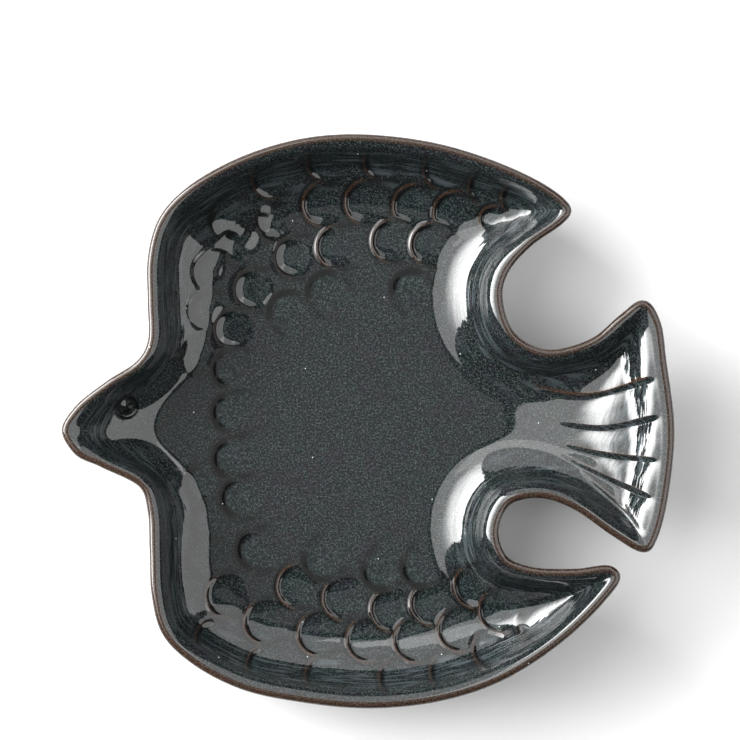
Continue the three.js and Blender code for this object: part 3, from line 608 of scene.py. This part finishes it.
def sheet_points(ring, row_starts, grids):
    """Row points that aren't nearer to another stretch of the ring, and grid points past the last row."""
    rows = np.vstack([ring - outward * d for d in row_starts])
    kept = [rows[ring_distance(rows, ring) > ROW_TOLERANCE * np.repeat(row_starts, len(ring))]]
    for grid in grids:
        grid = grid[inside_rim(grid, ring)]
        kept.append(grid[ring_distance(grid, ring) > row_starts[-1] + GRID_GAP])
    return np.vstack(kept)


def joined(ring, points):
    """Delaunay triangles of the ring and the points, without those outside the ring."""
    corners = [Vector(point) for point in np.vstack([ring, points]).tolist()]
    edges = [(i, (i + 1) % len(ring)) for i in range(len(ring))]
    out = delaunay_2d_cdt(corners, edges, [], KEEP_INSIDE, MERGE_DISTANCE)
    return np.array([tuple(v) for v in out[0]]), np.array(out[2])


box_grid = triangular_grid(LIP_RADIUS, length / 2, width / 2)
print(f"the rim encloses {inside_rim(box_grid, crest).mean():.0%} of its box")

# %% The well
WELL_ROWS = (0.4, 0.8, 1.2, 1.6, 2.0)
EDGE_STEP = 0.28
EDGE_HALF = 0.95
FINE_STEP = 0.56
FLOOR_STEP = 0.9
PLAIN_CENTRE = (-8, 0)
PLAIN_HALF = (24, 27)


def plain_floor(points):
    """True inside the oval of the floor that has almost no relief."""
    return (((points - PLAIN_CENTRE) / PLAIN_HALF) ** 2).sum(axis=1) < 1


def beside_edge(points):
    """True within EDGE_HALF of a feather's round edge, on its front, or of a crease, and all over the eye."""
    found = np.linalg.norm(points - eye, axis=1) < EYE_RADIUS + EDGE_HALF
    for centre, radius, way, *_ in feathers:
        arm = points - centre
        found |= (np.abs(np.linalg.norm(arm, axis=1) - radius) < EDGE_HALF) & (arm @ way < 0)
    for _, line in creases:
        near, gaps = near_line(points, line, EDGE_HALF)
        found[near] |= (gaps ** 2).sum(axis=2).min(axis=1) < EDGE_HALF ** 2
    return found


edge_grid, fine_grid, floor_grid = (triangular_grid(step, length / 2, width / 2)
                                    for step in (EDGE_STEP, FINE_STEP, FLOOR_STEP))
edge_grid = edge_grid[beside_edge(edge_grid)]
fine_grid = fine_grid[~plain_floor(fine_grid) & ~beside_edge(fine_grid)]
floor_grid = floor_grid[plain_floor(floor_grid) & ~beside_edge(floor_grid)]
well_xy, well_faces = joined(crest, sheet_points(crest, WELL_ROWS, (edge_grid, fine_grid, floor_grid)))
well = inner_height(well_xy)
well["z"][:RIM_COUNT] = height
print(f"well of {len(well_faces)} triangles")

# %% Underside and lip
UNDERSIDE_ROWS = (0.5, 1.0, 1.6, 2.4)
UNDERSIDE_STEP = 1.3
LIP_STEPS = 5

silhouette = crest + outward * LIP_RADIUS
underside_grid = triangular_grid(UNDERSIDE_STEP, length / 2, width / 2)
under_xy, under_faces = joined(silhouette, sheet_points(silhouette, UNDERSIDE_ROWS, (underside_grid,)))
under = outer_height(under_xy)
under["z"][:RIM_COUNT] = equator_z

lip_rows = []
for angle in np.linspace(0, np.pi / 2, LIP_STEPS + 1)[1:-1]:
    ring = crest + outward * LIP_RADIUS * np.sin(angle)
    lip_rows.append(np.column_stack([ring, np.full(RIM_COUNT, equator_z + LIP_RADIUS * np.cos(angle))]))
print(f"underside of {len(under_faces)} triangles, {len(lip_rows)} rows round the lip")

# %% The dish
LIP_GLAZE = {"thin": LIP_BROWN, "pool": 0.0, "dark": 0.0, "steep": 0.0}


def dish_arrays():
    """Vertices, triangles and point attributes of well, lip and underside, as one closed surface."""
    lip = np.vstack(lip_rows)
    sheets = [np.column_stack([well_xy, well["z"]]), lip, np.column_stack([under_xy, under["z"]])]
    first_lip, first_under = len(well_xy), len(well_xy) + len(lip)
    starts = [0] + [first_lip + k * RIM_COUNT for k in range(LIP_STEPS - 1)] + [first_under]
    here = np.arange(RIM_COUNT)
    there = (here + 1) % RIM_COUNT
    bands = []
    for upper, lower in zip(starts, starts[1:]):
        bands.append(np.column_stack([upper + here, upper + there, lower + here]))
        bands.append(np.column_stack([upper + there, lower + there, lower + here]))
    faces = np.vstack([well_faces] + bands + [under_faces[:, ::-1] + first_under])
    attributes = {name: np.concatenate([well[name], np.full(len(lip), value), under[name]])
                  for name, value in LIP_GLAZE.items()}
    return np.vstack(sheets), faces, attributes


def make_piece(name, vertices, faces, attributes):
    """A smooth mesh object from arrays in millimetres, with one float attribute a point for each name."""
    mesh = bpy.data.meshes.new(name)
    mesh.from_pydata((vertices * MM).tolist(), [], faces.tolist())
    mesh.polygons.foreach_set("use_smooth", np.ones(len(mesh.polygons), dtype=bool))
    for key, values in attributes.items():
        mesh.attributes.new(key, "FLOAT", "POINT").data.foreach_set("value", values.astype(np.float32))
    mesh.update()
    piece = bpy.data.objects.new(name, mesh)
    bpy.context.scene.collection.objects.link(piece)
    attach(piece, "root")
    return piece


dish = make_piece("glazed_dish", *dish_arrays())
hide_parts("stoneware_body", "well_glaze", "outside_glaze", "base_glaze")
print(f"glazed_dish: {len(dish.data.polygons)} triangles")

# %% [markdown]
# ## Foot ring
#
# An oval ring of bare clay, luted under the base. It could be a curve with a bevel profile, but a grid of
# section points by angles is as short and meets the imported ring's own box. The section is a small trapezium
# with rounded lower edges, and the dish stands on its flat lower side.

# %% Foot ring
FOOT_WIDTH = 4.2
FOOT_TAPER = 0.5
FOOT_ROUND = 0.6
FOOT_ROUND_POINTS = 6
FOOT_STEPS = 240
foot_low, foot_high = (np.array(corner[:2]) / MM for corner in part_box("foot_ring"))
foot_centre, foot_half = (foot_low + foot_high) / 2, (foot_high - foot_low) / 2


def foot_section():
    """Inward distance and height round the section: down the outer side, round, across, and up again."""
    turn = np.linspace(0, np.pi / 2, FOOT_ROUND_POINTS)
    corner = np.column_stack([FOOT_ROUND * (1 - np.cos(turn)), FOOT_ROUND * (1 - np.sin(turn))])
    outer = np.vstack([[0, FOOT_HEIGHT], corner + [FOOT_TAPER, 0]])
    inner = outer[::-1] * [-1, 1] + [FOOT_WIDTH, 0]
    return np.vstack([outer, inner])


def foot_arrays():
    """Vertices and quads of the section round the oval: centre + (half axes - inward) * (cos, sin)."""
    section = foot_section()
    around = np.linspace(0, 2 * np.pi, FOOT_STEPS, endpoint=False)
    axes = foot_half[None, None, :] - section[None, :, 0, None]
    ring_xy = foot_centre + axes * np.stack([np.cos(around), np.sin(around)], axis=1)[:, None, :]
    ring_z = np.broadcast_to(section[None, :, 1, None], ring_xy.shape[:2] + (1,))
    i, j = np.meshgrid(np.arange(FOOT_STEPS), np.arange(len(section)), indexing="ij")
    next_i, next_j = (i + 1) % FOOT_STEPS, (j + 1) % len(section)
    corners = [a * len(section) + b for a, b in ((i, j), (i, next_j), (next_i, next_j), (next_i, j))]
    return np.concatenate([ring_xy, ring_z], axis=2).reshape(-1, 3), np.stack(corners, axis=-1).reshape(-1, 4)


foot = make_piece("foot_ring_clay", *foot_arrays(), {})
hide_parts("foot_ring")
print(f"foot_ring_clay: {len(foot.data.polygons)} faces")

# %% [markdown]
# ## Materials
#
# A reactive stoneware glaze is a thin layer of dark glass full of tiny crystals. Where it runs thin over an
# edge the iron in the clay shows through brown, and where it pools the glass goes deeper and greener. Beside
# the feathers' edges, behind their ends and in the eye the colour is painted nearly black as painted shade,
# the dark that steep drops and hollows show. On steep walls the glaze sags into fine level bands. It could be
# painted on an image, but the mesh carries all that as four attributes, thin, pool, dark (the painted shade)
# and steep, so the colour follows the real relief. The foot ring is the same clay, fired bare.

# %% Helpers for materials


def linear(code):
    """An sRGB hex colour as linear red, green, blue and alpha."""
    parts = np.array([int(code[k:k + 2], 16) / 255 for k in (1, 3, 5)])
    parts = np.where(parts <= 0.04045, parts / 12.92, ((parts + 0.055) / 1.055) ** 2.4)
    return (*parts.tolist(), 1.0)


def add(material, kind, inputs=None, stops=(), **settings):
    """A new node of that kind, with its settings, its inputs set to values or linked to outputs, and the
    (place, colour) stops of a colour ramp."""
    node = material.node_tree.nodes.new(kind)
    for key, value in settings.items():
        setattr(node, key, value)
    for key, value in (inputs or {}).items():
        if isinstance(value, bpy.types.NodeSocket):
            material.node_tree.links.new(value, node.inputs[key])
        else:
            node.inputs[key].default_value = value
    for _ in stops[2:]:  # a new ramp has two elements already
        node.color_ramp.elements.new(0.5)
    for number, (spot, code) in enumerate(stops):
        node.color_ramp.elements[number].position = spot
        node.color_ramp.elements[number].color = linear(code)
    return node


def new_material(name):
    """An empty node material with its principled shader."""
    material = bpy.data.materials.new(name)
    material.use_nodes = True
    return material, material.node_tree.nodes["Principled BSDF"]


def per_mm(size):
    """Texture scale that makes features of that many millimetres."""
    return 1 / (size * MM)


print(f"features of 1 mm need a texture scale of {per_mm(1):.0f}")

# %% Reactive glaze
GRAIN = 0.42  # the real crystals are finer and wouldn't show, so grain and flecks are drawn coarser
FLECK = 0.55
FLECK_SEED = 5.0
CLOUD = 5
BAND_LENGTH = 9
BAND_HEIGHT = 0.9
BAND_DEPTH = 0.12
RIPPLE_DEPTH = 0.03
PIN_SPACING = 27
PIN_SHARE = 0.006
GLAZE_COLOURS = {
    "body": ((0.36, "#080a0a"), (0.47, "#111515"), (0.56, "#1f2526"), (0.66, "#3c3f3b")),
    "violet": ((0.36, "#0b0a0c"), (0.50, "#19171c"), (0.66, "#323036")),
    "teal": ((0.36, "#0a1112"), (0.50, "#152526"), (0.66, "#2a4444")),
    "brown": ((0.36, "#2a1a10"), (0.50, "#3a2618"), (0.66, "#4b3422")),
}
BAND_COLOUR = "#3c4346"
# colour of the painted shade beside the feathers' edges and in the eye
PAINTED_SHADE_COLOUR = "#050505"
PIN_COLOUR = "#98a29f"


def reactive_glaze():
    """Glossy charcoal-teal glass over iron-rich stoneware: speckled and clouded, greener where pooled, brown
    where thin, with painted shade nearly black beside the edges and in the eye, banded on steep walls, with a
    few pale pinholes."""
    material, shader = new_material("reactive_charcoal_teal_glaze")
    spot = add(material, "ShaderNodeTexCoord").outputs["Object"]
    # dark carries the painted shade
    thin, pool, dark, steep = (add(material, "ShaderNodeAttribute", attribute_name=name).outputs["Fac"]
                               for name in ("thin", "pool", "dark", "steep"))
    grain = add(material, "ShaderNodeTexNoise",
                {"Vector": spot, "Scale": per_mm(GRAIN), "Detail": 2.0, "Roughness": 0.6}).outputs["Fac"]
    fleck = add(material, "ShaderNodeTexNoise",
                {"Vector": spot, "W": FLECK_SEED, "Scale": per_mm(FLECK), "Detail": 1.0},
                noise_dimensions="4D").outputs["Fac"]
    cloud = add(material, "ShaderNodeTexNoise",
                {"Vector": spot, "Scale": per_mm(CLOUD), "Detail": 2.0}).outputs["Fac"]
    stretch = (per_mm(BAND_LENGTH), per_mm(BAND_LENGTH), per_mm(BAND_HEIGHT))
    along = add(material, "ShaderNodeMapping", {"Vector": spot, "Scale": stretch}).outputs["Vector"]
    bands = add(material, "ShaderNodeTexNoise", {"Vector": along, "Scale": 1.0, "Detail": 2.0}).outputs["Fac"]
    pins = add(material, "ShaderNodeTexVoronoi", {"Vector": spot, "Scale": per_mm(PIN_SPACING)},
               voronoi_dimensions="2D").outputs["Distance"]

    body, violet, teal, brown = (add(material, "ShaderNodeValToRGB", {"Fac": grain}, stops).outputs["Color"]
                                 for stops in GLAZE_COLOURS.values())
    clouded = add(material, "ShaderNodeMapRange",
                  {"Value": cloud, "From Min": 0.45, "From Max": 0.65, "To Max": 0.7}).outputs["Result"]
    flecked = add(material, "ShaderNodeMapRange",
                  {"Value": fleck, "From Min": 0.48, "From Max": 0.6, "To Max": 0.3}).outputs["Result"]
    pooled = add(material, "ShaderNodeMath", {0: pool, 1: flecked}, operation="MAXIMUM").outputs["Value"]
    banded = add(material, "ShaderNodeMapRange",
                 {"Value": bands, "From Min": 0.52, "From Max": 0.64, "To Max": steep}).outputs["Result"]
    pinned = add(material, "ShaderNodeMath", {0: pins, 1: PIN_SHARE}, operation="LESS_THAN").outputs["Value"]
    colour = body
    for share, layer in ((clouded, violet), (pooled, teal), (banded, linear(BAND_COLOUR)), (thin, brown),
                         (dark, linear(PAINTED_SHADE_COLOUR)), (pinned, linear(PIN_COLOUR))):
        colour = add(material, "ShaderNodeMix", {"Factor": share, "A": colour, "B": layer},
                     data_type="RGBA").outputs["Result"]
    material.node_tree.links.new(colour, shader.inputs["Base Color"])
    sagged = add(material, "ShaderNodeBump",
                 {"Strength": steep, "Distance": BAND_DEPTH * MM, "Height": bands}).outputs["Normal"]
    ripple = add(material, "ShaderNodeBump",
                 {"Strength": 0.5, "Distance": RIPPLE_DEPTH * MM, "Height": cloud, "Normal": sagged})
    material.node_tree.links.new(ripple.outputs["Normal"], shader.inputs["Normal"])
    shader.inputs["Roughness"].default_value = 0.06
    shader.inputs["IOR"].default_value = 1.52
    return material


dish.data.materials.append(reactive_glaze())
print(f"glazed_dish wears {dish.data.materials[0].name}")

# %% Bare clay
SAND = 0.6
GRIT_DEPTH = 0.1
CLAY_COLOURS = ((0.3, "#5b4230"), (0.5, "#8a6a4e"), (0.7, "#a98a6c"))


def bare_stoneware():
    """Fired iron-bearing clay without glaze: matt and sandy, from dark to pale brown."""
    material, shader = new_material("bare_fired_stoneware")
    spot = add(material, "ShaderNodeTexCoord").outputs["Object"]
    sand = add(material, "ShaderNodeTexNoise",
               {"Vector": spot, "Scale": per_mm(SAND), "Detail": 4.0}).outputs["Fac"]
    colour = add(material, "ShaderNodeValToRGB", {"Fac": sand}, CLAY_COLOURS).outputs["Color"]
    material.node_tree.links.new(colour, shader.inputs["Base Color"])
    grit = add(material, "ShaderNodeBump", {"Strength": 0.4, "Distance": GRIT_DEPTH * MM, "Height": sand})
    material.node_tree.links.new(grit.outputs["Normal"], shader.inputs["Normal"])
    shader.inputs["Roughness"].default_value = 0.85
    return material


foot.data.materials.append(bare_stoneware())
print(f"foot_ring_clay wears {foot.data.materials[0].name}")

# %% [markdown]
# ## Studio
#
# The dish lies on a white table and is seen from straight above. Gloss is drawn by what it mirrors: a large
# bright softbox on the side of the head, a weaker grey card on the side of the tail, another behind the far
# wing and a small dim one overhead, with dark all round, so the floor of the well stays deep and the walls
# carry the shapes of the lights.

# %% Table
TABLE_HALF = 3.0  # metres, as are all lengths of the studio


def studio_floor():
    """A wide white table top under the dish."""
    mesh = bpy.data.meshes.new("table_top")
    corners = [(x * TABLE_HALF, y * TABLE_HALF, 0) for x, y in ((-1, -1), (1, -1), (1, 1), (-1, 1))]
    mesh.from_pydata(corners, [], [(0, 1, 2, 3)])
    table = bpy.data.objects.new("table_top", mesh)
    bpy.context.scene.collection.objects.link(table)
    material, shader = new_material("white_table")
    shader.inputs["Base Color"].default_value = linear("#d2d2d2")
    shader.inputs["Roughness"].default_value = 0.9
    mesh.materials.append(material)


studio_floor()
print(f"table {2 * TABLE_HALF} m square")

# %% Lights
LIGHT_DISTANCE = 0.9
FALL_FROM = 0.2
FALL_TO = 0.62
STUDIO_GREY = 0.1


def softbox(name, azimuth, zenith, size, radiance, upper=1.0, lights_table=False):
    """A rectangular light that faces the dish, at angles from +X and from straight up, with a set radiance
    that falls smoothly to the given share towards its upper edge. A card that doesn't light the table only
    shows in the gloss, as a dim card far away does."""
    light = bpy.data.lights.new(name, "AREA")
    light.shape = "RECTANGLE"
    light.size, light.size_y = size
    light.energy = radiance * np.pi * size[0] * size[1]
    light.use_nodes = True
    spot = add(light, "ShaderNodeSeparateXYZ", {0: add(light, "ShaderNodeNewGeometry").outputs["Parametric"]})
    fall = add(light, "ShaderNodeMapRange",
               {"Value": spot.outputs["Y"], "From Min": FALL_FROM, "From Max": FALL_TO, "To Min": 1.0,
                "To Max": upper}, interpolation_type="SMOOTHSTEP")
    light.node_tree.links.new(fall.outputs["Result"], light.node_tree.nodes["Emission"].inputs["Strength"])
    lamp = bpy.data.objects.new(name, light)
    a, z = np.radians(azimuth), np.radians(zenith)
    way = Vector((np.sin(z) * np.cos(a), np.sin(z) * np.sin(a), np.cos(z)))
    lamp.location = way * LIGHT_DISTANCE
    lamp.rotation_euler = way.to_track_quat("Z", "Y").to_euler()
    lamp.visible_diffuse = lights_table
    bpy.context.scene.collection.objects.link(lamp)


softbox("key_softbox", azimuth=158, zenith=44, size=(1.0, 1.04), radiance=25, upper=0.135, lights_table=True)
softbox("grey_card_tail", azimuth=0, zenith=45, size=(1.0, 1.0), radiance=2.7, lights_table=True)
softbox("grey_card_wing", azimuth=90, zenith=45, size=(0.9, 0.9), radiance=2.2)
softbox("overhead_fill", azimuth=0, zenith=0, size=(0.28, 0.28), radiance=0.5)

world = bpy.data.worlds.new("dark_studio")
world.use_nodes = True
world.node_tree.nodes["Background"].inputs["Color"].default_value = (STUDIO_GREY, STUDIO_GREY, STUDIO_GREY, 1)
bpy.context.scene.world = world
bpy.context.scene.view_settings.view_transform = "Standard"
print(f"{len(bpy.data.lights)} lights, {LIGHT_DISTANCE} m from the dish")

# %% Camera
IMAGE_SIZE = 740  # pixels, as are the next two
DISH_PIXELS = 613.3
DISH_CENTRE_PIXEL = (368.0, 421.25)
CAMERA_DISTANCE = 1.6
CLIP_END = 10
SENSOR = 36  # millimetres

pixel = length * MM / DISH_PIXELS
camera_data = bpy.data.cameras.new("camera")
camera_data.sensor_width = SENSOR
camera_data.lens = SENSOR * CAMERA_DISTANCE / (IMAGE_SIZE * pixel)
camera_data.clip_end = CLIP_END
camera = bpy.data.objects.new("camera", camera_data)
camera.location = ((IMAGE_SIZE / 2 - DISH_CENTRE_PIXEL[0]) * pixel,
                   (DISH_CENTRE_PIXEL[1] - IMAGE_SIZE / 2) * pixel,
                   height * MM + CAMERA_DISTANCE)
bpy.context.scene.collection.objects.link(camera)
bpy.context.scene.camera = camera
print(f"camera {CAMERA_DISTANCE} m above the lip, lens {camera_data.lens:.0f} mm")
